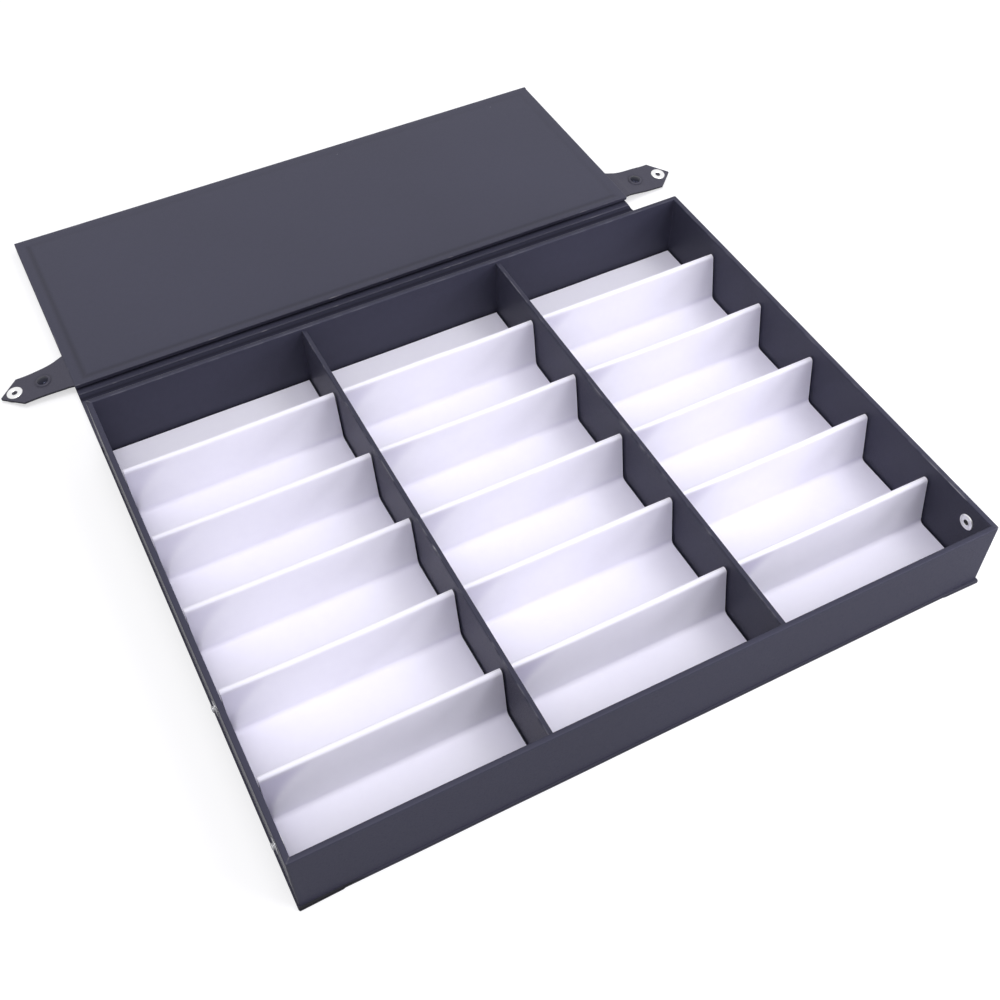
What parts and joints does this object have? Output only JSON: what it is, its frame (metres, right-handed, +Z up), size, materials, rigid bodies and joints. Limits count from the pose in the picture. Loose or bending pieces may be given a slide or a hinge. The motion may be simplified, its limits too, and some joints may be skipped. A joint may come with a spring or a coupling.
{
  "type": "sunglasses organizer box",
  "caption": "Shallow leatherette tray with ridged card slots for glasses, closed by a folding three-panel lid with two side snap straps.",
  "frame": {"origin": "centre of the tray's underside, on the surface that it stands on", "axes": "+X along the tray's long side, +Y back towards the open lid, +Z up"},
  "size_m": [0.5958, 0.6449, 0.0585],
  "materials": {
    "leatherette": "matt fine grain",
    "lining": "matt suede",
    "strap_leather": "matt fine grain",
    "board": "raw",
    "insert_card": "matt",
    "bright_snap": "polished",
    "dark_snap": "polished dark nickel",
    "stud_metal": "polished"
  },
  "bodies": {
    "tray": {"base_cover": "leatherette", "base_board": "board", "tray_floor": "board", "front_wall": "board", "rear_wall": "board", "left_wall": "board", "right_wall": "board", "tray_wrap": "leatherette", "left_divider_board": "board", "left_divider_cover": "leatherette", "right_divider_board": "board", "right_divider_cover": "leatherette", "left_insert": "insert_card", "middle_insert": "insert_card", "right_insert": "insert_card", "front_left_stud": "stud_metal", "front_left_rivet_ring": "bright_snap", "front_right_stud": "stud_metal", "front_right_rivet_ring": "bright_snap", "rear_left_stud": "stud_metal", "rear_left_rivet_ring": "bright_snap", "rear_right_stud": "stud_metal", "rear_right_rivet_ring": "bright_snap"},
    "spine": {"spine_cover": "leatherette", "spine_board": "board", "spine_lining": "lining", "tray_hinge_strip": "leatherette", "spine_hinge_strip": "leatherette"},
    "lid_rear": {"lid_rear_cover": "leatherette", "lid_rear_board": "board", "lid_rear_lining": "lining", "lid_fold_strip": "leatherette"},
    "lid_front": {"lid_front_cover": "leatherette", "lid_front_board": "board", "lid_front_lining": "lining", "left_strap_root": "strap_leather", "left_strap_fold": "strap_leather", "right_strap_root": "strap_leather", "right_strap_fold": "strap_leather"},
    "left_strap": {"left_strap": "strap_leather", "left_root_cap": "dark_snap", "left_root_socket": "bright_snap", "left_tip_ring": "bright_snap", "left_tip_socket": "bright_snap"},
    "right_strap": {"right_strap": "strap_leather", "right_root_cap": "dark_snap", "right_root_socket": "bright_snap", "right_tip_ring": "bright_snap", "right_tip_socket": "bright_snap"}
  },
  "joints": [
    {"name": "spine_hinge", "type": "hinge", "parent": "tray", "child": "spine", "pos_m": [0, 0.1952, 0.0018], "axis": [1, 0, 0], "range_deg": [0, 90], "deforming": ["tray_hinge_strip"]},
    {"name": "lid_hinge", "type": "hinge", "parent": "spine", "child": "lid_rear", "pos_m": [0, 0.2541, 0.0018], "axis": [1, 0, 0], "range_deg": [0, 89.9], "deforming": ["spine_hinge_strip"]},
    {"name": "lid_fold", "type": "hinge", "parent": "lid_rear", "child": "lid_front", "pos_m": [0, 0.4513, 0.0048], "axis": [-1, 0, 0], "range_deg": [0, 179.8], "deforming": ["lid_fold_strip"]},
    {"name": "left_strap_hinge", "type": "hinge", "parent": "lid_front", "child": "left_strap", "pos_m": [-0.2466, 0.282, 0.0083], "axis": [0, -1, 0], "range_deg": [-95.9, 84.1], "deforming": ["left_strap_fold"]},
    {"name": "right_strap_hinge", "type": "hinge", "parent": "lid_front", "child": "right_strap", "pos_m": [0.2466, 0.282, 0.0083], "axis": [0, 1, 0], "range_deg": [-95.9, 84.1], "deforming": ["right_strap_fold"]}
  ],
  "couplings": [
    {"joint": "lid_fold", "follows": "lid_hinge", "ratio": 2}
  ]
}
